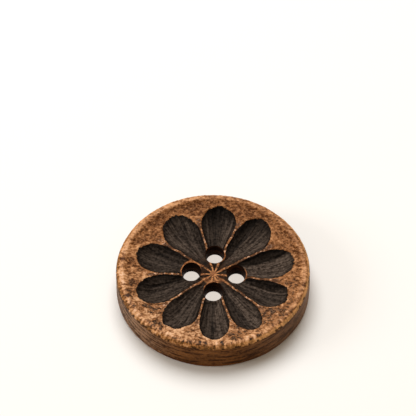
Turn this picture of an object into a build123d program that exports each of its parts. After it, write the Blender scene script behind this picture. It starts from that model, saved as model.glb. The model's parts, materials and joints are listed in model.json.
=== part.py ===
from build123d import *
import math
import os

# A wooden sewing button, turned from one blank and carved by hand.
# Millimetres. The origin is the middle of the circle that the button rests on, +Z points out of
# the carved face, and the four sewing holes lie on +X, +Y, -X and -Y.

# Turned blank
DIAMETER = 25.0
THICKNESS = 4.25
SHOULDER_ROUND = 0.62
FOOT_CHAMFER = 0.3
BEAD_HEIGHT = 0.3
BEAD_FALL = 24.0
HUB_DROP = 0.87
WEB = 1.38
FOOT_RING_WIDTH = 3.2
HOLLOW_FLAT_DIAMETER = 10.0

# Sewing holes
HOLE_COUNT = 4
HOLE_CIRCLE = 6.1
HOLE_DIAMETER = 2.26
MOUTH_FLARE = 0.18
MOUTH_DEPTH = 0.35

# Carved petals, cut by hand, so no two are quite alike. Each petal lies between two ridges. The
# pairs hold the bearing of the ridge where a petal begins, in degrees from +X, and the plain
# wood left between that petal's tip and the side wall. POINT_LIFT is how far above the face each
# cut starts, so that the ten cuts fade out short of the hub.
PETALS = (
    (32.0, 1.86),
    (70.0, 1.90),
    (105.0, 1.95),
    (146.5, 2.24),
    (185.5, 2.05),
    (222.5, 1.86),
    (257.5, 1.50),
    (288.5, 1.65),
    (318.5, 1.98),
    (351.5, 1.97),
)
RIDGE_WIDTH = 0.26
POINT_LIFT = 0.05
FLOOR_SLOPE = 8.0
NOSE_SWEEP = 1.75

rim_radius = DIAMETER / 2
hub_height = THICKNESS - HUB_DROP

# The rim is a bead: the shoulder's arc runs over the crest and on down the inside, until it slopes
# by BEAD_FALL, and a straight fall at that slope meets the face.
fall = math.radians(BEAD_FALL)
bead_end_radius = rim_radius - SHOULDER_ROUND * (1 + math.sin(fall))
bead_end_height = THICKNESS - SHOULDER_ROUND * (1 - math.cos(fall))
face_edge_height = THICKNESS - BEAD_HEIGHT
face_radius = bead_end_radius - (bead_end_height - face_edge_height) / math.tan(fall)
face_slope = math.atan2(face_edge_height - hub_height, face_radius)


def face_height(radius):
    """Height of the uncut face, which falls in a straight line from the bead to the hub."""
    return hub_height + radius * math.tan(face_slope)


def turned_blank():
    """The disc off the lathe: hollowed back, foot ring, straight wall, round bead, sunk face."""
    foot_inner = (rim_radius - FOOT_RING_WIDTH, 0)
    foot_outer = (rim_radius - FOOT_CHAMFER, 0)
    wall_foot = (rim_radius, FOOT_CHAMFER)
    wall_top = (rim_radius, THICKNESS - SHOULDER_ROUND)
    face_edge = (face_radius, face_edge_height)
    hub = (0, hub_height)
    hollow_middle = (0, hub_height - WEB)
    hollow_edge = (HOLLOW_FLAT_DIAMETER / 2, hub_height - WEB)
    with BuildPart() as blank:
        with BuildSketch(Plane.XZ):
            with BuildLine():
                Polyline(foot_inner, foot_outer, wall_foot, wall_top)
                bead = JernArc(wall_top, (0, 1), SHOULDER_ROUND, 90 + BEAD_FALL)
                Polyline(bead @ 1, face_edge, hub, hollow_middle, hollow_edge, foot_inner)
            make_face()
        revolve(axis=Axis.Z)
    return blank.part


def petal_cutter(ridge_before, ridge_after, tip_land):
    """The cone-shaped cut with a round nose that leaves one petal, turned about its own axis.

    The cone's point lies near the hub, where the two ridges' sides meet, just above the face. Its
    axis leans up, so that the cone meets the face along those sides and its lowest line slopes
    down under the face by FLOOR_SLOPE. An arc tangent to the cone closes the far end, and comes
    up through the face at the petal's tip. NOSE_SWEEP is the arc's radius, as a multiple of the
    radius of the ball that would fit the cone's end.
    """
    half_sector = math.radians((ridge_after - ridge_before) / 2)
    bearing = (ridge_before + ridge_after) / 2
    floor = math.radians(FLOOR_SLOPE)
    lean = math.atan2(math.cos(floor) - math.cos(half_sector), math.sin(floor))
    flare = lean + floor

    # The nose for a cone whose side is one unit long: its radius, its middle measured from the
    # point along and below the axis, and how far from the point it comes up through the face.
    nose_radius = NOSE_SWEEP * math.tan(flare)
    middle_along = math.cos(flare) + nose_radius * math.sin(flare)
    middle_below = nose_radius * math.cos(flare) - math.sin(flare)
    toward_middle = middle_along * math.cos(lean) - middle_below * math.sin(lean)
    square = middle_along**2 + middle_below**2 - nose_radius**2
    tip_ratio = toward_middle + math.sqrt(toward_middle**2 - square)

    point_radius = RIDGE_WIDTH / 2 / math.sin(half_sector)
    tip_radius = rim_radius - tip_land
    side = (tip_radius - point_radius) / math.cos(face_slope) / tip_ratio
    cone_end = (side * math.cos(flare), side * math.sin(flare))
    nose_end = side * (middle_along + math.sqrt(nose_radius**2 - middle_below**2))
    with BuildPart() as cutter:
        with BuildSketch(Plane.XZ):
            with BuildLine():
                Line((0, 0), cone_end)
                TangentArc(cone_end, (nose_end, 0), tangent=cone_end)
                Line((nose_end, 0), (0, 0))
            make_face()
        revolve(axis=Axis.X)
    tilt = math.degrees(lean + face_slope)
    seat = Pos(point_radius, 0, face_height(point_radius) + POINT_LIFT)
    return Rot(0, 0, bearing) * seat * Rot(0, -tilt, 0) * cutter.part


def petal_cutters():
    """One cutter for each petal, from each ridge to the next round the face."""
    cutters = []
    for index, (ridge_before, tip_land) in enumerate(PETALS):
        ridge_after = PETALS[(index + 1) % len(PETALS)][0]
        if ridge_after < ridge_before:
            ridge_after += 360
        cutters.append(petal_cutter(ridge_before, ridge_after, tip_land))
    return cutters


def hole_cutter():
    """A drill through the button at the first hole, with a flare that eases the hole's mouth."""
    radius = HOLE_DIAMETER / 2
    face = face_height(HOLE_CIRCLE / 2)
    with BuildPart() as cutter:
        with BuildSketch(Plane.XZ):
            with BuildLine():
                Polyline(
                    (0, -1),
                    (radius, -1),
                    (radius, face - MOUTH_DEPTH),
                    (radius + MOUTH_FLARE, face),
                    (radius + MOUTH_FLARE, THICKNESS),
                    (0, THICKNESS),
                    close=True,
                )
            make_face()
        revolve(axis=Axis.Z)
    return Pos(HOLE_CIRCLE / 2, 0, 0) * cutter.part


def button():
    """The finished button: the blank, less its petals and its sewing holes."""
    drill = hole_cutter()
    holes = [Rot(0, 0, index * 360 / HOLE_COUNT) * drill for index in range(HOLE_COUNT)]
    return turned_blank() - petal_cutters() - holes


os.makedirs("parts", exist_ok=True)
export_step(button(), "parts/button.step")
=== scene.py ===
"""Looks of a carved wooden sewing button: its carved surface, its stained finish and the stage."""

import json
import math

import bmesh
import bpy
import numpy as np
from bpy.props import FloatProperty, FloatVectorProperty, PointerProperty
from bpy.types import Operator, Panel, PropertyGroup
from mathutils import Matrix, Vector


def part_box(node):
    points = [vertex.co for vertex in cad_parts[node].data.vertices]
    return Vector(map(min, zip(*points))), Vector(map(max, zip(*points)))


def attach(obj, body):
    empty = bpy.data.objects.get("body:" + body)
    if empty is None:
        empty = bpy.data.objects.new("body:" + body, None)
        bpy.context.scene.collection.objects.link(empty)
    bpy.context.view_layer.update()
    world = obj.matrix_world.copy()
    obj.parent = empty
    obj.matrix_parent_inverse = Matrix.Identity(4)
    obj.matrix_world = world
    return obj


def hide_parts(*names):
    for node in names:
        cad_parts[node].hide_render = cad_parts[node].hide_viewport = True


bl_info = {
    "name": "Carved Wooden Button",
    "version": (1, 0, 0),
    "blender": (4, 5, 0),
    "location": "3D View > Sidebar > Button",
    "description": "Models and finishes one carved wooden sewing button and lights it on a pale floor",
    "category": "Object",
}

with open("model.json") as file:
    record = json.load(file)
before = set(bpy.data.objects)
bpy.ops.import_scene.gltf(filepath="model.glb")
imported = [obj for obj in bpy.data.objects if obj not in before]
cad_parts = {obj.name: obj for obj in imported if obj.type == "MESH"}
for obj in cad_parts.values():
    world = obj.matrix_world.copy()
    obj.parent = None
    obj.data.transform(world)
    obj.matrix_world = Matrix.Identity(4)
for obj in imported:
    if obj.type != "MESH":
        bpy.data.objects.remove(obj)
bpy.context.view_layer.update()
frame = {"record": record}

MILLIMETRE = 0.001
BODY = "root"
NODE = "button"

low_corner, high_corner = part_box(NODE)
holes_mount = next(m for m in frame["record"]["mounts"] if m["name"] == "sewing_holes")
hole_dims = holes_mount["dims"]

# Each petal lies between two ridges. The pairs hold the bearing of the ridge where a petal begins,
# in degrees from +X, and the plain wood left between that petal's tip and the side wall, in mm.
PETALS = (
    (32.0, 1.86),
    (70.0, 1.90),
    (105.0, 1.95),
    (146.5, 2.24),
    (185.5, 2.05),
    (222.5, 1.86),
    (257.5, 1.50),
    (288.5, 1.65),
    (318.5, 1.98),
    (351.5, 1.97),
)

# Shape of the carving, in mm and degrees
RIDGE_WIDTH = 0.26
POINT_LIFT = 0.05
FLOOR_SLOPE = math.radians(8.0)
NOSE_SWEEP = 1.75
BEAD_FALL = math.radians(24.0)
FACE_BLEND = 0.3
CUT_EDGE_ROUND = 0.07
CUT_ROUNDS = 12
NO_CUT = -0.5

# The hub's star lies a little off the middle, by this much in X and Y, out to about this radius.
HUB_DRIFT = (0.12, -0.14)
HUB_REACH = 5.0

# The sewing holes, counted from the one on +X. Each was drilled a little off its place, by so much
# in X and Y, and part of its mouth shows bare wood: the bearing of the middle of that part, half
# its width in degrees and how bare it is.
HOLE_DRIFT = ((-0.04, -0.03), (0.11, -0.1), (0.26, 0.1), (0.18, 0.03))
BARE_MOUTHS = ((0.0, 70.0, 0.45), (-20.0, 50.0, 0.5), (112.0, 85.0, 1.0), (130.0, 50.0, 0.5))

# Every hole, in mm: how far its mouth is eased along X and along Y, how much that wanders, how much
# narrower the bore is low down, how wide the ring of bare wood is, and how far out from the mouth
# the face is brought level. The lips are two rows of points by the mouth's edge, each so far in and
# so far down. A radius of the mouth holds so many of the wander's waves, and a bare part ends this
# many of its half widths from its middle.
MOUTH_EASE = (0.14, 0.36)
MOUTH_WANDER = 0.012
MOUTH_WAVES = 1.3
BORE_WAIST = 0.09
BARE_WIDTH = 0.19
BARE_END = 1.3
LEVEL_REACH = 0.3
LOWER_LIP = (0.03, 0.05)
UPPER_LIP = (0.012, 0.02)

# Cuts that a flatter gouge left inside a petal: the petal's number, where the cut's lowest line
# runs, how far it reaches clockwise and anticlockwise of that line, and its depth in mm. Places
# across a petal are shares of half its width, counted anticlockwise from its middle.
GOUGE_CUTS = (
    (0, 0.42, 1.1, 0.55, 0.11),
    (1, 0.12, 0.35, 0.3, 0.05),
    (3, -0.35, 0.5, 0.9, 0.07),
    (4, -0.45, 0.5, 1.0, 0.13),
    (5, -0.25, 0.6, 0.5, 0.06),
    (6, -0.1, 0.3, 0.35, 0.05),
    (6, 0.55, 0.2, 0.2, 0.03),
    (7, 0.6, 0.6, 0.35, 0.05),
    (8, 0.55, 0.35, 0.35, 0.08),
    (8, 0.3, 0.14, 0.12, 0.045),
    (8, 0.06, 0.18, 0.14, 0.045),
    (9, 0.5, 1.2, 0.45, 0.15),
)

# Painted light and shade on the char across a petal, paler on the side that faces the light and
# darker on the side that faces away: the petal's number, the place where a band begins, counted
# as above and running anticlockwise to the next band, and how much light the band gives back.
CHAR_SHADE_BANDS = (
    (0, -2.0, 1.2), (0, 0.35, 0.42),
    (1, -2.0, 1.05), (1, -0.05, 0.55), (1, 0.35, 0.68),
    (2, -2.0, 0.92), (2, 0.1, 1.15), (2, 0.8, 0.85),
    (3, -2.0, 0.58), (3, -0.3, 0.78),
    (4, -2.0, 0.48), (4, -0.45, 0.92),
    (5, -2.0, 1.0), (5, 0.0, 1.0), (5, 0.5, 0.78),
    (6, -2.0, 0.82), (6, -0.15, 0.6), (6, 0.02, 1.32),
    (7, -2.0, 0.62), (7, -0.05, 1.45), (7, 0.55, 1.05),
    (8, -2.0, 0.86), (8, 0.1, 0.8), (8, 0.33, 1.12), (8, 0.58, 0.46),
    (9, -2.0, 1.6), (9, 0.46, 0.3),
)
BAND_EDGE = 0.05

# The far petals are darker toward their tips, painted shade where those ends face away from the
# light: how far out that begins, in mm, over how many mm it comes in, and how dark it gets.
TIP_BEGINS = 6.8
TIP_FADE = 2.4
TIP_SHADE = 0.9

# Where the hand strayed from the pattern: a place on the face, how far round it the stray reaches,
# and by how much it moves the cuts there, all in mm
STRAYS = (
    (6.4, 4.0, 3.0, 0.13, -0.22),
    (-7.3, -3.3, 3.0, 0.08, -0.15),
    (-5.7, -7.1, 2.0, 0.16, -0.06),
    (-1.9, -8.3, 1.8, 0.2, 0.0),
    (-6.1, 7.3, 2.2, 0.26, -0.22),
    (-2.6, 8.0, 1.5, -0.12, 0.0),
    (-0.3, 10.2, 1.6, 0.0, -0.16),
    (2.5, 8.3, 1.4, 0.2, 0.0),
    (7.2, 7.2, 1.8, -0.3, 0.0),
    (6.6, -6.6, 1.5, -0.25, 0.0),
    (9.9, -1.9, 1.4, 0.15, 0.2),
    (1.9, -5.5, 1.8, -0.13, 0.0),
)

# How the tool and the hand show, in mm, each with the size of its waves: the wander of the cuts,
# the gouge's facets along them, their ragged edges, and the unevenness of the finished face
WANDER = 0.035
WANDER_SIZE = 2.4
FACET_DEPTH = 0.02
FACET_WIDTH = 0.75
FACET_LENGTH = 6.0
RAGGEDNESS = 0.017
RAGGED_SIZE = 0.5
BROAD_UNEVENNESS = 0.012
BROAD_SIZE = 0.9
FINE_UNEVENNESS = 0.008
FINE_SIZE = 0.4

# Where the flatter gouge's cuts begin and end along a petal, and over how many mm they fade there
GOUGE_BEGINS = 2.2
GOUGE_ENDS = 10.6
GOUGE_FADE = 2.0

# A place across a petal is kept in the mesh as if half of every petal were this wide, in mm.
HALF_PETAL = 2.0

# The facets of the next petal, and the waves of the next hole's mouth, are drawn this far away.
PETAL_STEP = 7.3
MOUTH_STEP = 5

# The rim, in mm: how far the turned wall lies inside the nominal width, how much that wanders and in
# waves how tall, how far the bead's top is lowered, and how high and how wide its lumps are. A radius
# holds RIM_WAVES waves, and they are cut off at RIM_WAVE_LIMIT times their mean height.
RIM_SHRINK = 0.02
RIM_WANDER = 0.012
RIM_WAVE_HEIGHT = 3.0
RIM_WAVES = 2.2
RIM_WAVE_LIMIT = 1.6
BEAD_LOWERED = 0.04
LUMP_HEIGHT = 0.022
LUMP_SIZE = 0.55

# Mesh divisions
AROUND = 480
FACE_ROWS = 66
BEAD_ROWS = 14
WALL_ROWS = 8
FOOT_ROWS = 4
RING_ROWS = 6
HOLLOW_ROWS = 12
SPOKE_STEPS = 36
TOP_ROWS = 22
BORE_ROWS = 12
BACK_ROWS = 8

# Rows crowd toward a hole's mouth by the first power. By the second, the levelling near the mouth
# ends before the boundary of the hole's quarter, so that neighbouring quarters meet.
MOUTH_CROWDING = 1.2
LEVEL_END = 4

# In mm: how near points are welded, and how far inside the back's flat middle the quarters end
WELD_DISTANCE = 0.002
FLAT_MARGIN = 0.1

# More colours, as linear red, green and blue. The near colours are for the side toward the camera,
# where the pale wood is greyer as a painted sheen. A pair goes from dark to pale with the grain, but
# the gilding's goes from left to right, paler on the right as painted light.
DARK_WOOD_NEAR = (0.03, 0.015, 0.008)
PALE_WOOD_NEAR_SHEEN = (0.61, 0.34, 0.18)
# The palest wood: worn, and standing in for highlights as a painted highlight.
WORN_WOOD_AND_HIGHLIGHT = (0.74, 0.46, 0.29)
RIDGE_WOOD = (0.27, 0.11, 0.038)
# Pale lengths of the ridges: worn, and painted highlights.
RIDGE_WORN_AND_HIGHLIGHT = (0.6, 0.37, 0.25)
RIDGE_STAIN = (0.055, 0.022, 0.009)
HUB_WOOD = ((0.17, 0.06, 0.022), (0.47, 0.205, 0.08))
HUB_SCORCH = (0.07, 0.028, 0.012)
MOUTH_WOOD = ((0.2, 0.07, 0.024), (0.42, 0.17, 0.065))
# Nearly black: the bore's own dark wood, with painted shade inside it.
BORE_WOOD_AND_SHADE = ((0.006, 0.002, 0.0008), (0.03, 0.009, 0.003))
# The wall toward the right and left ends is greyer and paler: painted sheen.
WALL_RIGHT_SHEEN = ((0.085, 0.05, 0.033), (0.19, 0.12, 0.08))
WALL_RIGHT_END_SHEEN = (0.36, 0.2, 0.11)
WALL_LEFT_SHEEN = ((0.035, 0.019, 0.011), (0.42, 0.265, 0.168))
# Reddish foot of the wall: painted bounce light from the floor.
WALL_FOOT_BOUNCE = (0.17, 0.052, 0.014)
# Gilding on the bead's outer edge, its paler end toward the right as painted light.
GILDING_LIT_TOWARD_RIGHT = ((0.42, 0.17, 0.03), (0.66, 0.33, 0.12))
NICK = (0.02, 0.006, 0.0015)

# The noise round the rim is true to scale at this radius, in mm.
RIM_SCALE = 12.0

# The stage, in metres: the floor and the part of it that glows under the button, and the lights.
# The camera's aim is a point of the floor in mm, before the camera is turned about the button.
FLOOR_HALF = 1.5
FLOOR_COLOUR = (0.82, 0.805, 0.785, 1)
FLOOR_GLOW = (0.66, 0.625, 0.575)
GLOW_REACH = 0.0088
CAMERA_AIM = (-0.642, 13.317, 0)
SENSOR_WIDTH = 36
NEAREST_SEEN = 0.01
FURTHEST_SEEN = 10
KEY_PLACE = (-0.07, 0.33, 0.6)
KEY_SIZE = 0.55
KEY_TINT = (0.965, 0.985, 1.0)
SIDE_PLACE = (-0.58, -0.08, 0.27)
SIDE_SIZE = 0.3
SKY_TINT = (1.0, 0.84, 0.65, 1)


class ButtonSizes(PropertyGroup):
    """Sizes of the button's surface."""

    diameter: FloatProperty(
        name="Diameter",
        description="Width of the button across its rim",
        default=high_corner.x - low_corner.x,
        unit="LENGTH",
    )
    thickness: FloatProperty(
        name="Thickness",
        description="Height of the bead's crest above the foot ring",
        default=high_corner.z - low_corner.z,
        unit="LENGTH",
    )
    shoulder_round: FloatProperty(
        name="Shoulder round",
        description="Radius of the bead round the rim",
        default=0.62 * MILLIMETRE,
        unit="LENGTH",
    )
    bead_height: FloatProperty(
        name="Bead height",
        description="How far the bead stands above the edge of the sunk face",
        default=0.3 * MILLIMETRE,
        unit="LENGTH",
    )
    hub_drop: FloatProperty(
        name="Hub drop",
        description="How far the middle of the face lies below the bead's crest",
        default=0.87 * MILLIMETRE,
        unit="LENGTH",
    )
    web: FloatProperty(
        name="Web",
        description="Thickness of the wood between the middle of the face and the hollowed back",
        default=1.38 * MILLIMETRE,
        unit="LENGTH",
    )
    foot_round: FloatProperty(
        name="Foot round",
        description="Radius of the wall's lower edge",
        default=0.3 * MILLIMETRE,
        unit="LENGTH",
    )
    foot_ring_width: FloatProperty(
        name="Foot ring width",
        description="Width of the flat ring that the button rests on, with the wall's lower edge",
        default=3.2 * MILLIMETRE,
        unit="LENGTH",
    )
    hollow_flat: FloatProperty(
        name="Hollow flat",
        description="Width of the flat middle of the hollowed back",
        default=10.0 * MILLIMETRE,
        unit="LENGTH",
    )
    hole_circle: FloatProperty(
        name="Hole circle",
        description="Diameter of the circle that the sewing holes lie on",
        default=hole_dims["pcd_mm"] * MILLIMETRE,
        unit="LENGTH",
    )
    hole_radius: FloatProperty(
        name="Hole radius",
        description="Radius of each sewing hole",
        default=hole_dims["hole_r_mm"] * MILLIMETRE,
        unit="LENGTH",
    )


class ButtonColours(PropertyGroup):
    """Colours of the wood's finish."""

    dark_wood: FloatVectorProperty(
        name="Dark wood",
        description="Colour of the face where the stain has gathered",
        default=(0.062, 0.017, 0.0015),
        subtype="COLOR",
    )
    middle_wood: FloatVectorProperty(
        name="Middle wood",
        description="Main colour of the waxed face",
        default=(0.235, 0.092, 0.030),
        subtype="COLOR",
    )
    pale_wood: FloatVectorProperty(
        name="Pale wood",
        description="Colour of the face where the stain is worn thin",
        default=(0.56, 0.28, 0.126),
        subtype="COLOR",
    )
    char: FloatVectorProperty(
        name="Char",
        description="Colour of the singed petals",
        default=(0.0085, 0.0055, 0.0038),
        subtype="COLOR",
    )
    ash: FloatVectorProperty(
        name="Ash",
        description="Colour of the raised fibres in the singed petals",
        default=(0.083, 0.060, 0.0455),
        subtype="COLOR",
    )
    wall: FloatVectorProperty(
        name="Wall",
        description="Lighter colour of the side wall and the back",
        default=(0.19, 0.075, 0.022),
        subtype="COLOR",
    )
    wall_dark: FloatVectorProperty(
        name="Dark wall",
        description="Darker colour of the side wall and the back",
        default=(0.035, 0.011, 0.003),
        subtype="COLOR",
    )


class StageSettings(PropertyGroup):
    """The camera's place and the light."""

    camera_bearing: FloatProperty(
        name="Camera bearing",
        description="Turn of the camera about the button, from looking along +Y",
        default=math.radians(2.5),
        subtype="ANGLE",
    )
    camera_elevation: FloatProperty(
        name="Camera elevation",
        description="Height of the camera above the floor, as an angle",
        default=math.radians(51.602),
        subtype="ANGLE",
    )
    camera_distance: FloatProperty(
        name="Camera distance",
        description="Distance from the camera to the point on the floor that it looks at",
        default=0.4,
        unit="LENGTH",
    )
    lens: FloatProperty(
        name="Lens",
        description="Focal length in millimetres, on a sensor 36 mm wide",
        default=261.53,
    )
    key_power: FloatProperty(
        name="Key power",
        description="Power of the large soft light behind the button",
        default=5.05,
        unit="POWER",
    )
    side_power: FloatProperty(
        name="Side power",
        description="Power of the weaker light low on the left",
        default=1.5,
        unit="POWER",
    )
    sky: FloatProperty(
        name="Sky",
        description="Strength of the even light from all round",
        default=0.385,
    )


def waves(points, seed, terms=28):
    """A smooth random field over points, about one unit long from crest to crest.

    It is the sum of cosines, each with its own direction, length and phase drawn from the seed,
    divided so that its mean square is one.
    """
    draw = np.random.default_rng(seed)
    directions = draw.normal(size=(points.shape[-1], terms))
    directions /= np.linalg.norm(directions, axis=0)
    lengths = draw.uniform(0.6, 1.5, terms)
    phases = draw.uniform(0, 2 * math.pi, terms)
    crests = np.cos(points @ (directions * 2 * math.pi * lengths) + phases)
    return crests.sum(-1) * math.sqrt(2 / terms)


def rounded_max(first, second, blend):
    """The larger of two heights, with the corner where they cross rounded over about blend."""
    gap = first - second
    return second + (gap + np.sqrt(gap**2 + blend**2)) / 2


class Shape:
    """The button's sizes in millimetres, and the heights that follow from them."""

    def __init__(self, sizes):
        self.rim = sizes.diameter / 2 / MILLIMETRE
        self.top = sizes.thickness / MILLIMETRE
        self.shoulder = sizes.shoulder_round / MILLIMETRE
        self.hub = self.top - sizes.hub_drop / MILLIMETRE
        self.ceiling = self.hub - sizes.web / MILLIMETRE
        self.foot_round = sizes.foot_round / MILLIMETRE
        self.foot_inner = self.rim - sizes.foot_ring_width / MILLIMETRE
        self.hollow_flat = sizes.hollow_flat / 2 / MILLIMETRE
        self.hole_place = sizes.hole_circle / 2 / MILLIMETRE
        self.bore = sizes.hole_radius / MILLIMETRE
        self.bead_end = self.rim - self.shoulder * (1 + math.sin(BEAD_FALL))
        self.bead_end_height = self.top - self.shoulder * (1 - math.cos(BEAD_FALL))
        edge_height = self.top - sizes.bead_height / MILLIMETRE
        face_radius = self.bead_end - (self.bead_end_height - edge_height) / math.tan(BEAD_FALL)
        self.slope = (edge_height - self.hub) / face_radius

    def face_height(self, radius):
        """Height of the uncut face: a shallow cone that meets the bead's inner fall in a soft bend."""
        cone = self.hub + radius * self.slope
        fall = self.bead_end_height - (self.bead_end - radius) * math.tan(BEAD_FALL)
        return rounded_max(cone, fall, FACE_BLEND)


def petal_frame(x, y, number):
    """Each point as seen from the pointed end of one petal's cut.

    Gives half the petal's angle, how far the pointed end lies from the hub, and each point's
    distances from that end, out along the petal's middle and across it.
    """
    ridge_before = PETALS[number][0]
    ridge_after = PETALS[(number + 1) % len(PETALS)][0]
    half_sector = math.radians((ridge_after - ridge_before) % 360 / 2)
    bearing = math.radians(ridge_before) + half_sector
    point_radius = RIDGE_WIDTH / 2 / math.sin(half_sector)
    out = x * math.cos(bearing) + y * math.sin(bearing) - point_radius
    across = y * math.cos(bearing) - x * math.sin(bearing)
    return half_sector, point_radius, out, across


def petal_turn(half_sector, out, across):
    """Angle from a petal's middle, seen from its pointed end, as a share of half the petal."""
    return np.arctan2(across, np.maximum(out, 1e-6)) / half_sector


def petal_cut(shape, x, y, number):
    """Height of one petal's cut over each point, and the point's turn in the petal.

    The cut is a cone with its point near the hub, closed at its far end by a tangent arc and
    turned about an axis that leans up from the face. A point of the floor at distance u along the
    axis lies the cone's or the arc's radius away from it, and the height that fits is found by
    putting it back in a few times.
    """
    tip_land = PETALS[number][1]
    half_sector, point_radius, out, across = petal_frame(x, y, number)
    lean = math.atan2(math.cos(FLOOR_SLOPE) - math.cos(half_sector), math.sin(FLOOR_SLOPE))
    flare = lean + FLOOR_SLOPE
    nose_radius = NOSE_SWEEP * math.tan(flare)
    middle_along = math.cos(flare) + nose_radius * math.sin(flare)
    middle_below = nose_radius * math.cos(flare) - math.sin(flare)
    toward_middle = middle_along * math.cos(lean) - middle_below * math.sin(lean)
    square = middle_along**2 + middle_below**2 - nose_radius**2
    tip_ratio = toward_middle + math.sqrt(toward_middle**2 - square)

    face_tilt = math.atan(shape.slope)
    point_height = shape.hub + point_radius * shape.slope + POINT_LIFT
    side = (shape.rim - tip_land - point_radius) / math.cos(face_tilt) / tip_ratio
    tilt = lean + face_tilt
    height = shape.hub + np.hypot(x, y) * shape.slope - point_height
    for _ in range(CUT_ROUNDS):
        along_axis = out * math.cos(tilt) + height * math.sin(tilt)
        past_middle = (side * nose_radius) ** 2 - (along_axis - side * middle_along) ** 2
        nose = np.sqrt(np.maximum(past_middle, 0)) - side * middle_below
        radius = np.where(along_axis < side * math.cos(flare), along_axis * math.tan(flare), nose)
        hangs = np.sqrt(np.maximum(radius**2 - across**2, 0))
        height = (out * math.sin(tilt) - hangs) / math.cos(tilt)
    missed = (radius <= np.abs(across)) | (out <= 0)
    height = np.where(missed, np.inf, height + point_height)
    return height, petal_turn(half_sector, out, across)


def stray(x, y):
    """Each point moved to where the undisturbed pattern has what the hand cut there.

    The moves are the hub's drift, a smooth random wander, and each stray's own move. The drift and
    the strays fade with distance as a bell curve does.
    """
    spots = np.stack([x, y], -1)
    centred = np.exp(-((np.hypot(x, y) / HUB_REACH) ** 2))
    x_cut = x - HUB_DRIFT[0] * centred + WANDER * waves(spots / WANDER_SIZE, seed=11)
    y_cut = y - HUB_DRIFT[1] * centred + WANDER * waves(spots / WANDER_SIZE, seed=12)
    for x_stray, y_stray, reach, x_move, y_move in STRAYS:
        nearness = np.exp(-((x - x_stray) ** 2 + (y - y_stray) ** 2) / reach**2)
        x_cut = x_cut - x_move * nearness
        y_cut = y_cut - y_move * nearness
    return x_cut, y_cut


def ridge_distance(x, y):
    """Distance from each point to the nearest ridge's middle, which is a ray from the hub."""
    nearest = np.hypot(x, y)
    for ridge, _ in PETALS:
        bearing = math.radians(ridge)
        beside = np.abs(y * math.cos(bearing) - x * math.sin(bearing))
        ahead = x * math.cos(bearing) + y * math.sin(bearing) > 0
        nearest = np.where(ahead, np.minimum(nearest, beside), nearest)
    return nearest


def gouge_bite(number, turn, along):
    """How much deeper the flatter gouge's cuts make one petal.

    Across the petal each cut is a V with its own two slopes, and it fades out at both ends.
    """
    coming_in = np.clip((along - GOUGE_BEGINS) / GOUGE_FADE, 0, 1)
    going_out = np.clip((GOUGE_ENDS - along) / GOUGE_FADE, 0, 1)
    bite = np.zeros(turn.shape)
    for petal, valley, clockwise, anticlockwise, depth in GOUGE_CUTS:
        if petal == number:
            away = turn - valley
            away = np.where(away > 0, away / anticlockwise, -away / clockwise)
            bite += depth * coming_in * going_out * np.clip(1 - away, 0, 1)
    return bite


def painted_char_shading(number, x, y, turn, along):
    """Painted light and shade on a petal's char: its soft-edged bands and a far petal's shaded tip."""
    bands = [band[1:] for band in CHAR_SHADE_BANDS if band[0] == number]
    shade = np.full(x.shape, bands[0][1])
    for (begins, pale), (_, before) in zip(bands[1:], bands):
        shade = shade + (pale - before) * np.clip((turn - begins) / BAND_EDGE + 0.5, 0, 1)
    # Painted shade toward the tips of the far petals
    radius = np.hypot(x, y) + 1e-6
    far = np.clip(y / radius - 0.2, 0, 1) * np.clip(1.2 + 2 * x / radius, 0, 1)
    by_tip = np.clip((along - TIP_BEGINS) / TIP_FADE, 0, 1)
    return shade * (1 - TIP_SHADE * far * by_tip)


def carve(shape, x, y):
    """Height of the finished top over each point, how deep it is cut, and the marks it bears.

    The cuts follow the strayed points, and long shallow ripples along each cut are the gouge's
    facets. The deepest cut at a point is taken from the face, and the edge between them is rounded
    off. The marks are the point's place in its petal (across it, along it and the petal's number,
    without the straying, so that fibres run straight), then the char's painted light and shade there
    and the distance to the nearest ridge.
    """
    spots = np.stack([x, y], -1)
    x_cut, y_cut = stray(x, y)
    face = shape.face_height(np.hypot(x, y))
    depth = np.full(x.shape, NO_CUT)
    place = np.zeros(x.shape + (3,))
    painted_char_shade = np.ones(x.shape)
    for number in range(len(PETALS)):
        cut, turn = petal_cut(shape, x_cut, y_cut, number)
        half_sector, _, out, sideways = petal_frame(x, y, number)
        along = np.hypot(out, sideways)
        across = petal_turn(half_sector, out, sideways) * HALF_PETAL
        apart = np.full(x.shape, PETAL_STEP * number)
        facets = np.stack([turn * HALF_PETAL / FACET_WIDTH, along / FACET_LENGTH, apart], -1)
        ripple = FACET_DEPTH * waves(facets, seed=21) * np.clip(1 - turn**2, 0, 1)
        gap = face - cut - ripple + gouge_bite(number, turn, along)
        deeper = gap > depth
        depth = np.where(deeper, gap, depth)
        here = np.stack([across, along, np.full(x.shape, float(number))], -1)
        place = np.where(deeper[..., None], here, place)
        # The char's painted light and shade at each point
        painted_char_shade = np.where(deeper, painted_char_shading(number, x, y, turn, along), painted_char_shade)
    ragged = depth + RAGGEDNESS * waves(spots / RAGGED_SIZE, seed=51)
    depth = np.where(depth > NO_CUT, ragged, depth)
    lowered = (depth + np.sqrt(depth**2 + CUT_EDGE_ROUND**2)) / 2
    uneven = BROAD_UNEVENNESS * waves(spots / BROAD_SIZE, seed=31)
    uneven = uneven + FINE_UNEVENNESS * waves(spots / FINE_SIZE, seed=32)
    ridge_gap = ridge_distance(x_cut, y_cut)
    marks = np.concatenate([place, painted_char_shade[..., None], ridge_gap[..., None]], -1)
    return face - lowered + uneven, depth, marks


def quads(columns, rows):
    """Corner numbers of the quads between neighbours in a grid whose last column meets its first."""
    column = np.arange(columns)[:, None]
    row = np.arange(rows - 1)[None, :]
    this = column * rows + row
    after = (column + 1) % columns * rows + row
    return np.stack([this, this + 1, after + 1, after], -1).reshape(-1, 4)


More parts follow.
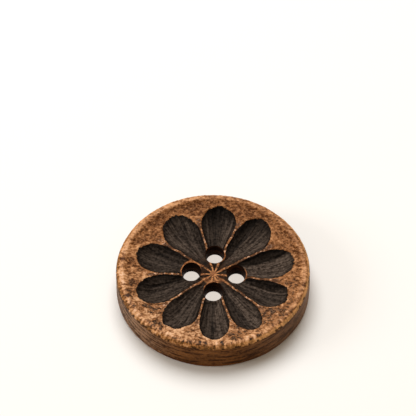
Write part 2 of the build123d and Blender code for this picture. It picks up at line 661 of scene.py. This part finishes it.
def outer_grid(shape, inner_radius):
    """The button outside inner_radius: a grid of the bearing and the place along the profile.

    The profile runs out over the face, round the bead's arc, down the wall, round the foot, in
    along the foot ring and up the hollow's cone. A faint waviness of its radius keeps the rim from
    being a perfect circle, and small lumps stand on the bead. Beside the points it gives how deep
    each is cut, zeros because none is in a bore, the marks from carve, and the quads' corners.
    """
    bearing = np.arange(AROUND) * 2 * math.pi / AROUND
    face = np.linspace(inner_radius, shape.bead_end, FACE_ROWS)
    bead = np.linspace(math.pi / 2 + BEAD_FALL, 0, BEAD_ROWS)[1:]
    bead_middle = shape.rim - shape.shoulder
    wall = np.linspace(shape.top - shape.shoulder, shape.foot_round, WALL_ROWS)[1:]
    foot = np.linspace(0, math.pi / 2, FOOT_ROWS)[1:]
    ring = np.linspace(shape.rim - shape.foot_round, shape.foot_inner, RING_ROWS)[1:]
    hollow = np.linspace(0, 1, HOLLOW_ROWS)[1:]
    radius = np.concatenate([
        face,
        bead_middle + shape.shoulder * np.cos(bead),
        np.full(wall.shape, shape.rim),
        shape.rim - shape.foot_round * (1 - np.cos(foot)),
        ring,
        shape.foot_inner + (shape.hollow_flat - shape.foot_inner) * hollow,
        [inner_radius],
    ])
    height = np.concatenate([
        np.zeros(face.shape),
        shape.top - shape.shoulder * (1 - np.sin(bead)),
        wall,
        shape.foot_round * (1 - np.sin(foot)),
        np.zeros(ring.shape),
        shape.ceiling * hollow,
        [shape.ceiling],
    ])
    unit = np.stack([np.cos(bearing), np.sin(bearing)], -1)[:, None, :]
    spots = np.broadcast_to(unit * RIM_WAVES, (AROUND, len(radius), 2))
    levels = np.broadcast_to(height[None, :, None] / RIM_WAVE_HEIGHT, (AROUND, len(radius), 1))
    wander = waves(np.concatenate([spots, levels], -1), seed=41)
    wander = wander.clip(-RIM_WAVE_LIMIT, RIM_WAVE_LIMIT)
    outside = np.clip((radius - shape.bead_end) / shape.shoulder, 0, 1)
    rounds = radius - outside * (RIM_SHRINK - RIM_WANDER * wander)
    x = rounds * unit[..., 0]
    y = rounds * unit[..., 1]
    carved, depth, marks = carve(shape, x, y)
    on_face = np.arange(len(radius)) < FACE_ROWS
    on_bead = outside * (height > shape.top - shape.shoulder)
    lumps = waves(np.stack([x, y, 0 * x + height], -1) / LUMP_SIZE, seed=61)
    z = np.where(on_face, carved, height + on_bead * (LUMP_HEIGHT * lumps - BEAD_LOWERED))
    depth = np.where(on_face, depth, NO_CUT)
    points = np.stack([x, y, z], -1)
    return points, depth, np.zeros(depth.shape), marks, quads(AROUND, len(radius))


def hole_grid(shape, inner_radius, number):
    """The quarter of the button round one sewing hole, inside inner_radius.

    The columns are rays from the hole's axis to the quarter's boundary, which goes from the hub out
    along a spoke, round an arc of the outer grid's circle and back along the other spoke. The rows
    go in along the flat of the back, up the bore, over the eased mouth and out across the face. Near
    the mouth the face is brought to the plane that fits its heights best, which makes it smooth. It
    gives what outer_grid gives, but the third value is 1 in the bore and falls below 0 where the
    mouth shows bare wood.
    """
    quarter = 2 * math.pi / hole_dims["count"]
    spoke = np.arange(SPOKE_STEPS + 1) / SPOKE_STEPS * inner_radius
    arc_steps = AROUND // hole_dims["count"]
    arc = quarter * (np.arange(1, arc_steps) / arc_steps - 0.5)
    reach = np.concatenate([spoke, np.full(arc.shape, inner_radius), spoke[:0:-1]])
    ends = np.full(spoke.shape, quarter / 2)
    swing = np.concatenate([-ends, arc, ends[1:]])
    bearing = number * quarter + swing
    edge = np.stack([reach * np.cos(bearing), reach * np.sin(bearing)], -1)
    middle = shape.hole_place * np.array([math.cos(number * quarter), math.sin(number * quarter)])
    middle = middle + HOLE_DRIFT[number]
    ray = edge - middle
    ray_length = np.linalg.norm(ray, axis=-1, keepdims=True)
    ray_unit = ray / ray_length

    waist = shape.bore - BORE_WAIST
    eased = shape.bore + MOUTH_EASE[0] + (MOUTH_EASE[1] - MOUTH_EASE[0]) * ray_unit[:, 1:] ** 2
    wander = waves(ray_unit * MOUTH_WAVES + MOUTH_STEP * number, seed=71)
    mouth = eased + MOUTH_WANDER * wander[:, None]
    outward = np.linspace(0, 1, TOP_ROWS) ** MOUTH_CROWDING
    top_reach = mouth + (ray_length - mouth) * outward
    top = middle + top_reach[..., None] * ray_unit[:, None, :]
    z_top, depth_top, marks_top = carve(shape, top[..., 0], top[..., 1])
    plane = np.concatenate([ray_unit, np.ones((len(edge), 1))], 1)
    level = plane @ np.linalg.lstsq(plane, z_top[:, 0], rcond=None)[0]
    near_mouth = np.exp(-(((top_reach - mouth) / LEVEL_REACH) ** 2)) * (1 - outward**LEVEL_END)
    z_top = z_top + (level - z_top[:, 0])[:, None] * near_mouth

    lower_in, lower_down = LOWER_LIP
    upper_in, upper_down = UPPER_LIP
    bore_share = np.linspace(0, 1, BORE_ROWS)[:-1]
    bore_reach = waist + (mouth - lower_in - waist) * bore_share**2
    z_bore = shape.ceiling + (z_top[:, :1] - lower_down - shape.ceiling) * bore_share
    lip_reach = mouth - upper_in
    z_lip = z_top[:, :1] - upper_down
    inward = np.linspace(1, 0, BACK_ROWS)[:-1]
    back_reach = waist + (ray_length - waist) * inward

    columns = len(edge)
    reach_all = np.concatenate([back_reach, bore_reach, lip_reach, top_reach], 1)
    flat = middle + reach_all[..., None] * ray_unit[:, None, :]
    z = np.concatenate([np.full((columns, len(inward)), shape.ceiling), z_bore, z_lip, z_top], 1)
    points = np.concatenate([flat, z[..., None]], -1)
    rows = z.shape[1]
    lower = rows - TOP_ROWS
    depth = np.concatenate([np.full((columns, lower), NO_CUT), depth_top], 1)
    depth[:, lower - 1:lower] = depth_top[:, :1]
    marks = np.concatenate([np.repeat(marks_top[:, :1], lower, 1), marks_top], 1)

    facing, half_width, strength = BARE_MOUTHS[number]
    swung = np.degrees(np.arctan2(ray_unit[:, 1], ray_unit[:, 0])) - facing
    swung = np.abs((swung + 180) % 360 - 180)
    bareness = strength * np.clip(BARE_END - swung / half_width, 0, 1)[:, None]
    ring = np.exp(-(((reach_all - mouth) / BARE_WIDTH) ** 2)) * bareness
    inside = np.zeros((columns, rows))
    inside[:, len(inward):lower] = 1
    inside[:, lower:] = -ring[:, lower:]
    return points, depth, inside, marks, quads(columns, rows)


def make_mesh(name, parts):
    """Joins grids into one mesh in metres, welds their seams and keeps their marks as attributes."""
    start = 0
    faces = []
    for points, *_, corners in parts:
        faces.append(corners + start)
        start += points.shape[0] * points.shape[1]
    points, depth, bore, marks = (
        np.concatenate([part[slot].reshape(-1, width) for part in parts])
        for slot, width in enumerate((3, 1, 1, 5))
    )
    mesh = bpy.data.meshes.new(name)
    mesh.from_pydata((points * MILLIMETRE).tolist(), [], np.concatenate(faces).tolist())
    columns = (
        ("cut_depth", "FLOAT", "value", depth),
        ("bore", "FLOAT", "value", bore),
        ("petal_place", "FLOAT_VECTOR", "vector", marks[:, :3]),
        ("painted_char_shade", "FLOAT", "value", marks[:, 3]),
        ("ridge_gap", "FLOAT", "value", marks[:, 4]),
    )
    for attribute, kind, key, column in columns:
        made = mesh.attributes.new(attribute, kind, "POINT")
        made.data.foreach_set(key, column.astype(np.float32).ravel())
    weld = bmesh.new()
    weld.from_mesh(mesh)
    bmesh.ops.remove_doubles(weld, verts=weld.verts, dist=WELD_DISTANCE * MILLIMETRE)
    weld.to_mesh(mesh)
    weld.free()
    mesh.shade_smooth()
    mesh.validate()
    piece = bpy.data.objects.new(name, mesh)
    bpy.context.scene.collection.objects.link(piece)
    return piece


class Socket:
    """A shader socket with arithmetic: an expression on sockets and numbers adds its Math nodes."""

    def __init__(self, graph, link):
        self.graph = graph
        self.link = link

    def maths(self, operation, *values):
        """What a Math node makes of the values."""
        return self.graph.node("ShaderNodeMath", {"operation": operation}, dict(enumerate(values)))

    def __add__(self, other):
        return self.maths("ADD", self, other)

    def __radd__(self, other):
        return self.maths("ADD", other, self)

    def __sub__(self, other):
        return self.maths("SUBTRACT", self, other)

    def __rsub__(self, other):
        return self.maths("SUBTRACT", other, self)

    def __mul__(self, other):
        return self.maths("MULTIPLY", self, other)

    def __truediv__(self, other):
        return self.maths("DIVIDE", self, other)

    def __pow__(self, other):
        return self.maths("POWER", self, other)

    def __neg__(self):
        return self.maths("MULTIPLY", self, -1)

    def rise(self, start, end):
        """Goes smoothly from 0 where this is start to 1 where it is end, and may run downwards."""
        sockets = {"Value": self, "From Min": start, "From Max": end}
        return self.graph.node("ShaderNodeMapRange", {"interpolation_type": "SMOOTHSTEP"}, sockets)

    def larger(self, other):
        """The larger of the two."""
        return self.maths("MAXIMUM", self, other)

    def smaller(self, other):
        """The smaller of the two."""
        return self.maths("MINIMUM", self, other)


class Graph:
    """A material's nodes, made one at a time by node()."""

    def __init__(self, name):
        self.material = bpy.data.materials.new(name)
        self.material.use_nodes = True
        self.tree = self.material.node_tree
        self.tree.nodes.clear()

    def node(self, kind, settings=None, sockets=None, output=0):
        """Adds a node, sets it up, then fills its sockets with values or links; returns an output."""
        made = self.tree.nodes.new(kind)
        for key, value in (settings or {}).items():
            setattr(made, key, value)
        for key, value in (sockets or {}).items():
            if isinstance(value, Socket):
                self.tree.links.new(value.link, made.inputs[key])
            else:
                made.inputs[key].default_value = value
        return Socket(self, made.outputs[output]) if made.outputs else made

    def scaled(self, vector, factors):
        """A vector or a colour, each part of it multiplied."""
        return self.node("ShaderNodeVectorMath", {"operation": "MULTIPLY"}, {0: vector, 1: factors})

    def split(self, vector):
        """The three parts of a vector."""
        first = self.node("ShaderNodeSeparateXYZ", None, {0: vector})
        return [Socket(self, out) for out in first.link.node.outputs]

    def join(self, x, y, z):
        """A vector made of three parts."""
        return self.node("ShaderNodeCombineXYZ", None, {0: x, 1: y, 2: z})

    def noise(self, vector, stretch, scale, detail, roughness, distortion=0.0):
        """Noise about 0.5. A small stretch factor draws it out along that axis."""
        sockets = {
            "Vector": self.scaled(vector, stretch),
            "Scale": scale,
            "Detail": detail,
            "Roughness": roughness,
            "Distortion": distortion,
        }
        return self.node("ShaderNodeTexNoise", {"noise_dimensions": "3D"}, sockets)

    def mix(self, mask, low, high):
        """Colour that goes from low to high with the mask."""
        low, high = (part if isinstance(part, Socket) else (*part, 1) for part in (low, high))
        settings = {"data_type": "RGBA", "clamp_factor": True}
        return self.node("ShaderNodeMix", settings, {0: mask, 6: low, 7: high}, output=2)

    def attribute(self, name, output="Fac"):
        """What the mesh keeps at each point under this name."""
        return self.node("ShaderNodeAttribute", {"attribute_name": name}, output=output)

    def finish(self, shader):
        """Makes the shader the material's surface and returns the material."""
        self.node("ShaderNodeOutputMaterial", None, {0: shader})
        return self.material


class Wood:
    """What the finish is worked out from at each point: its place in mm, its marks and its grain.

    The grain is noise: fine, mottle, streaks and patches from small to large, dents for pits, strands
    level along the wall and ropes across the bead. The last four are shares from 0 to 1.
    """

    def __init__(self, graph):
        coordinates = graph.node("ShaderNodeTexCoord", output="Object")
        self.place = graph.scaled(coordinates, (1 / MILLIMETRE,) * 3)
        self.x, self.y, self.z = graph.split(self.place)
        self.radius = (self.x * self.x + self.y * self.y) ** 0.5
        self.cut_depth = graph.attribute("cut_depth")
        self.bore = graph.attribute("bore")
        self.petal_place = graph.attribute("petal_place", "Vector")
        self.painted_char_shade = graph.attribute("painted_char_shade")
        self.ridge_gap = graph.attribute("ridge_gap")

        self.fine = graph.noise(self.place, (0.85, 1, 1), 3.4, 2.0, 0.6)
        self.mottle = graph.noise(self.place, (0.75, 1, 1), 2.0, 3.0, 0.65, 0.5)
        self.streaks = graph.noise(self.place, (0.25, 1, 1), 2.2, 3.0, 0.6, 0.6)
        self.patches = graph.noise(self.place, (0.6, 1, 1), 0.42, 2.0, 0.5)
        self.dents = graph.noise(self.place, (0.8, 1, 1), 2.5, 1.0, 0.4, 0.2)
        self.strands = graph.noise(self.place, (0.14, 0.14, 1.35), 2.1, 3.0, 0.65)
        x_round = self.x / self.radius * RIM_SCALE
        y_round = self.y / self.radius * RIM_SCALE
        rounds = graph.join(x_round, y_round, self.radius)
        self.ropes = graph.noise(rounds, (1, 1, 0.45), 2.2, 2.0, 0.55, 0.2)

        self.crest = self.radius.rise(11.1, 11.75) * self.z.rise(3.6, 3.95)
        self.hub = self.radius.rise(3.6, 2.4)
        self.near_left = (-self.x - self.y).rise(2, 14)
        self.pits = self.dents.rise(0.56, 0.64) * self.patches.rise(0.62, 0.45)


def face_tone(wood):
    """How pale the waxed face is at each point, mostly from 0.3 to 0.8.

    Grain of several sizes is stronger toward the near left and right. The bead's crest is paler, partly
    worn and partly a painted highlight, most on the upper left, also toward the right and less toward
    the front, and bears lumps on its near side. The rest of the face is darker toward the front, the
    back and the hub and paler on the land by the petals' tips. The bead's outer shoulder is darker.
    """
    x, y, radius, crest = wood.x, wood.y, wood.radius, wood.crest
    flat = 1 - crest
    right = x.larger(0)
    near_right = (right * (-y)).larger(0)
    far_sides = y.larger(0) * x.larger(-x)
    tone = wood.mottle * 0.46 + wood.streaks * 0.28 + wood.fine * 0.52 + wood.patches * 0.26
    tone = tone + wood.near_left * (wood.mottle * 0.5 + wood.patches * 0.6 - 0.515) - 0.273
    tone = tone + flat * near_right * ((wood.mottle - 0.5) * 0.004 - 0.0006)
    tone = tone - flat * (y * y * 0.0004 + far_sides * 0.00035)

    # Painted highlight on the bead's crest, where the light falls: paler toward the upper left and less
    # toward the front.
    left_highlight = ((y * 0.5 - x * 0.87) / RIM_SCALE).larger(0) ** 2
    lumpy = (-y - x * 0.3).rise(0, 9) * 0.9 + 0.1 + wood.near_left * 0.35
    tone = tone + crest * ((wood.ropes - 0.5) * lumpy - wood.near_left * 0.012)
    tone = tone + crest * (0.055 + left_highlight * 0.16 + y.smaller(0) * 0.0055)
    # Painted highlight on the crest toward the right; the rest of the face is darker toward the right.
    tone = tone + right * (crest * 0.0035 - 0.00225) - y * 0.003

    land = wood.cut_depth.rise(-0.42, -0.08) * radius.rise(6.5, 8.5)
    ends = (-x).rise(9, 12) * 0.16 + x.rise(9, 12) * 0.1
    tone = tone + land * 0.06 - radius.rise(11.95, 12.3) * (0.03 + ends)
    return tone - radius.rise(8.5, 6.5) * 0.05


def face_colour(graph, wood, tone, colours):
    """Colour of the waxed face.

    It goes from stain to wood to worn wood with the tone, whose palest also stands in for highlights
    as a painted highlight. Pits are stained and their rims worn, and the narrow ridges between petals
    are stained, and paler in short lengths, where they are worn and bear painted highlights.
    """
    dark = graph.mix(wood.y.rise(3, -6), colours.dark_wood, DARK_WOOD_NEAR)
    # Toward the camera the pale wood is greyer: a painted sheen.
    pale = graph.mix(wood.y.rise(1, -9) * (1 - wood.crest), colours.pale_wood, PALE_WOOD_NEAR_SHEEN)
    face = graph.mix(tone.rise(0.34, 0.5), dark, colours.middle_wood)
    face = graph.mix(tone.rise(0.47, 0.68), face, pale)
    # The palest tone is a painted highlight as well as worn wood.
    face = graph.mix(tone.rise(0.66, 0.86) * 0.8, face, WORN_WOOD_AND_HIGHLIGHT)
    rims = wood.dents.rise(0.47, 0.53) * wood.dents.rise(0.6, 0.54)
    face = graph.mix(rims * 0.2, face, pale)
    face = graph.mix(wood.pits * 0.35, face, colours.dark_wood)
    ridge = wood.ridge_gap.rise(0.4, 0.2) * wood.radius.rise(9.2, 8.2)
    face = graph.mix(ridge * 0.6, face, RIDGE_WOOD)
    # Pale short lengths on the ridges: wear and painted highlights.
    face = graph.mix(ridge * wood.fine.rise(0.52, 0.6) * 0.7, face, RIDGE_WORN_AND_HIGHLIGHT)
    return graph.mix(ridge * wood.mottle.rise(0.54, 0.45) * 0.88, face, RIDGE_STAIN)


def wall_colour(graph, wood, colours):
    """Colour of the side wall and the back: level strands, greyer and paler toward both ends of X
    as a painted sheen, and reddish at the foot as painted bounce light.
    """
    clouds = graph.noise(wood.place, (0.35, 0.35, 1), 1.1, 3.0, 0.55)
    grain = wood.strands * 0.6 + clouds * 0.15 + wood.fine * 0.25
    tone = grain.rise(0.39, 0.61)
    wall = graph.mix(tone, colours.wall_dark, colours.wall)
    # Painted sheen: the wall is greyer and paler toward the right end, the far right end and the left
    # end.
    wall = graph.mix(wood.x.rise(3, 11) * 0.45, wall, graph.mix(tone, *WALL_RIGHT_SHEEN))
    left = graph.mix(grain.rise(0.45, 0.56), *WALL_LEFT_SHEEN)
    wall = graph.mix((-wood.x).rise(3, 11) * 0.55, wall, left)
    right_end_sheen = wood.x.rise(10.6, 12.4) * (wood.y * 0.1 + 0.9)
    wall = graph.mix(right_end_sheen * 0.45, wall, WALL_RIGHT_END_SHEEN)
    # Painted bounce light: the foot of the wall is reddish.
    return graph.mix(wood.z.rise(0.7, 0.1) * 0.5, wall, WALL_FOOT_BOUNCE)


def char_fibres(graph, wood):
    """How far a fibre of the singed wood stands up: fine threads along each petal, and specks."""
    threads = graph.noise(wood.petal_place, (5.0, 0.22, 9.7), 1.0, 3.0, 0.65)
    broad = graph.noise(wood.petal_place, (1.2, 0.1, 7.1), 1.0, 2.0, 0.5)
    return threads * 0.54 + broad * 0.06 + wood.fine * 0.4


def char_colour(graph, wood, fibres, colours):
    """Colour of the char: paler on its fibres, browner by the hub, with painted light and shade: its
    bands, and darker where it is shallow, on the steep edges of the cut.
    """
    char = graph.mix(fibres.rise(0.38, 0.7), colours.char, colours.ash)
    # The bands are painted light and shade, and the darkening where the cut is shallow is painted shade.
    char = graph.scaled(char, wood.painted_char_shade * (wood.cut_depth.rise(0.0, 0.45) * 0.85 + 0.3))
    by_hub = wood.radius.rise(4.5, 1.5) * wood.mottle.rise(0.4, 0.6)
    return graph.mix(by_hub * 0.3, char, HUB_SCORCH)


def singed_part(wood):
    """1 where the wood is singed, and 0 where it isn't.

    That is all that is cut, with an edge broken by scraps of wood. By the hub it is what lies between
    the rays of a star instead: a ray along each ridge, finer toward the middle, with blots on them
    and some bare wood just in front of the middle.
    """
    fine, mottle, radius = wood.fine, wood.mottle, wood.radius
    scraps = (fine - 0.5) * (radius.rise(7.5, 9.0) * 0.2 + 0.16)
    scraps = scraps + radius.rise(9.0, 7.0) * (mottle - 0.5) * 0.13 - radius.rise(6.5, 9.0) * 0.04
    cut = (wood.cut_depth + scraps).rise(-0.055, -0.01)
    ray = radius.rise(0.1, 1.5) * 0.4 + 0.65
    between = (wood.ridge_gap + (fine - 0.5) * 0.16).rise(ray * 0.06, ray * 0.19)
    between = between * (radius + (mottle - 0.5) * 0.8).rise(0.1, 0.5)
    between = between.larger(radius.rise(0.7, 1.1) * mottle.rise(0.52, 0.42) * 0.8)
    in_front = (-wood.y).rise(0.6, 1.3) * radius.rise(2.0, 1.5)
    between = between * (1 - in_front * (0.35 + mottle * 0.5))
    return cut * (1 - wood.hub) + between * wood.hub


def stained_wood(colours):
    """Waxed wood with stain in its pores, singed black in the petals and stained dark on the wall.

    The bead's outer edge is gilded by the stain, paler toward the right as painted light, and nicked.
    Bare wood shows in the hub's star and round the holes' mouths.
    """
    graph = Graph("stained_wood")
    wood = Wood(graph)
    tone = face_tone(wood)
    colour = face_colour(graph, wood, tone, colours)

    ragged_height = wood.z + (wood.fine - 0.5) * 0.25
    side = wood.radius.rise(12.15, 12.35) * ragged_height.rise(3.72, 3.62)
    walled = side.larger(wood.z.rise(2.3, 2.1))
    gilded = wood.radius.rise(12.1, 12.3) * (1 - walled)
    # The gilding is paler toward the right: painted light.
    gilding = graph.mix(wood.x.rise(0, 9), *GILDING_LIT_TOWARD_RIGHT)
    gilding = graph.scaled(gilding, wood.ropes * 1.3 + wood.fine * 0.9 + 0.02)
    nicks = gilded * graph.noise(wood.place, (1, 1, 0.8), 2.2, 1.0, 0.4).rise(0.52, 0.59)
    colour = graph.mix(gilded * (0.6 - wood.near_left * 0.35), colour, gilding)
    colour = graph.mix(nicks * wood.z.rise(4.03, 3.88) * 0.85, colour, NICK)
    colour = graph.mix(walled, colour, wall_colour(graph, wood, colours))

    singed = singed_part(wood)
    fibres = char_fibres(graph, wood)
    colour = graph.mix(wood.hub, colour, graph.mix(wood.fine.rise(0.4, 0.62), *HUB_WOOD))
    colour = graph.mix(singed, colour, char_colour(graph, wood, fibres, colours))
    mouth = graph.mix(wood.fine.rise(0.42, 0.6), *MOUTH_WOOD)
    colour = graph.mix((-wood.bore).rise(0.15, 0.5), colour, mouth)
    # The bore is nearly black: its own dark wood, with painted shade inside it.
    bored = wood.bore.rise(0.0, 0.6)
    colour = graph.mix(bored, colour, graph.mix(wood.strands.rise(0.45, 0.6), *BORE_WOOD_AND_SHADE))

    whole = 1 - singed
    height = whole * (tone * 1.6 - wood.pits * 0.5) + fibres * singed * 1.6
    height = height + wood.strands * walled * 0.8 - nicks * 0.8
    relief = {"Height": height, "Strength": 0.8, "Distance": 0.1 * MILLIMETRE}
    shader = graph.node("ShaderNodeBsdfPrincipled", None, {
        "Base Color": colour,
        "Roughness": singed * 0.1 + 0.5,
        "Specular IOR Level": 0.03,
        "Coat Weight": whole * (1 - walled) * (1 - bored) * (0.02 + wood.crest * 0.07),
        "Coat Roughness": 0.35,
        "Normal": graph.node("ShaderNodeBump", None, relief),
    })
    return graph.finish(shader)


def floor_paper():
    """Plain pale floor. Under the button it glows a little, so that the sewing holes show it lit."""
    graph = Graph("pale_floor")
    x, y, _ = graph.split(graph.node("ShaderNodeTexCoord", output="Object"))
    under = ((x * x + y * y) ** 0.5).rise(GLOW_REACH, GLOW_REACH * 0.9)
    shader = graph.node("ShaderNodeBsdfPrincipled", None, {
        "Base Color": FLOOR_COLOUR,
        "Roughness": 0.9,
        "Emission Color": graph.mix(under, (0, 0, 0), FLOOR_GLOW),
        "Emission Strength": 1.0,
    })
    return graph.finish(shader)


def add_light(scene, name, place, size, power, tint=(1, 1, 1)):
    """Adds a soft round light at a place in metres, turned to shine on the button."""
    light = bpy.data.lights.new(name, "AREA")
    light.shape = "DISK"
    light.size = size
    light.color = tint
    light.energy = power
    lamp = bpy.data.objects.new(name, light)
    lamp.location = place
    lamp.rotation_euler = (-lamp.location).to_track_quat("-Z", "Y").to_euler()
    scene.collection.objects.link(lamp)


class CARVEDBUTTON_OT_button(Operator):
    """Models the carved button and gives it its stained finish"""

    bl_idname = "carvedbutton.button"
    bl_label = "Carved Button"

    def execute(self, context):
        shape = Shape(context.scene.button_sizes)
        inner_radius = shape.hollow_flat - FLAT_MARGIN
        parts = [outer_grid(shape, inner_radius)]
        parts += [hole_grid(shape, inner_radius, number) for number in range(hole_dims["count"])]
        piece = make_mesh("carved_button", parts)
        piece.data.materials.append(stained_wood(context.scene.button_colours))
        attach(piece, BODY)
        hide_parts(NODE)
        return {"FINISHED"}


class CARVEDBUTTON_OT_stage(Operator):
    """Adds the pale floor, the soft light and the camera"""

    bl_idname = "carvedbutton.stage"
    bl_label = "Stage"

    def execute(self, context):
        scene = context.scene
        stage = scene.stage_settings
        corners = [(x * FLOOR_HALF, y * FLOOR_HALF, 0) for x, y in ((-1, -1), (1, -1), (1, 1), (-1, 1))]
        mesh = bpy.data.meshes.new("floor")
        mesh.from_pydata(corners, [], [(0, 1, 2, 3)])
        floor = bpy.data.objects.new("floor", mesh)
        scene.collection.objects.link(floor)
        floor.data.materials.append(floor_paper())

        turn = Matrix.Rotation(stage.camera_bearing, 3, "Z")
        elevation = stage.camera_elevation
        back = turn @ Vector((0, -math.cos(elevation), math.sin(elevation)))
        lens = bpy.data.cameras.new("camera")
        lens.lens = stage.lens
        lens.sensor_width = SENSOR_WIDTH
        lens.clip_start = NEAREST_SEEN
        lens.clip_end = FURTHEST_SEEN
        camera = bpy.data.objects.new("camera", lens)
        camera.location = turn @ Vector(CAMERA_AIM) * MILLIMETRE + back * stage.camera_distance
        camera.rotation_euler = (-back).to_track_quat("-Z", "Y").to_euler()
        scene.collection.objects.link(camera)
        scene.camera = camera

        add_light(scene, "key", KEY_PLACE, KEY_SIZE, stage.key_power, KEY_TINT)
        add_light(scene, "side", SIDE_PLACE, SIDE_SIZE, stage.side_power)
        world = bpy.data.worlds.new("studio")
        world.use_nodes = True
        sky = world.node_tree.nodes["Background"]
        sky.inputs["Color"].default_value = SKY_TINT
        sky.inputs["Strength"].default_value = stage.sky
        scene.world = world
        scene.view_settings.view_transform = "Standard"
        return {"FINISHED"}


class CARVEDBUTTON_PT_sidebar(Panel):
    """Lists the steps that make the button and its stage"""

    bl_label = "Carved Button"
    bl_space_type = "VIEW_3D"
    bl_region_type = "UI"
    bl_category = "Button"

    def draw(self, context):
        self.layout.operator(CARVEDBUTTON_OT_button.bl_idname)
        self.layout.operator(CARVEDBUTTON_OT_stage.bl_idname)


CLASSES = (
    ButtonSizes,
    ButtonColours,
    StageSettings,
    CARVEDBUTTON_OT_button,
    CARVEDBUTTON_OT_stage,
    CARVEDBUTTON_PT_sidebar,
)


def register():
    for cls in CLASSES:
        bpy.utils.register_class(cls)
    bpy.types.Scene.button_sizes = PointerProperty(type=ButtonSizes)
    bpy.types.Scene.button_colours = PointerProperty(type=ButtonColours)
    bpy.types.Scene.stage_settings = PointerProperty(type=StageSettings)


def unregister():
    del bpy.types.Scene.stage_settings
    del bpy.types.Scene.button_colours
    del bpy.types.Scene.button_sizes
    for cls in reversed(CLASSES):
        bpy.utils.unregister_class(cls)


def main():
    register()
    bpy.ops.carvedbutton.button()
    bpy.ops.carvedbutton.stage()


if __name__ == "__main__":
    main()
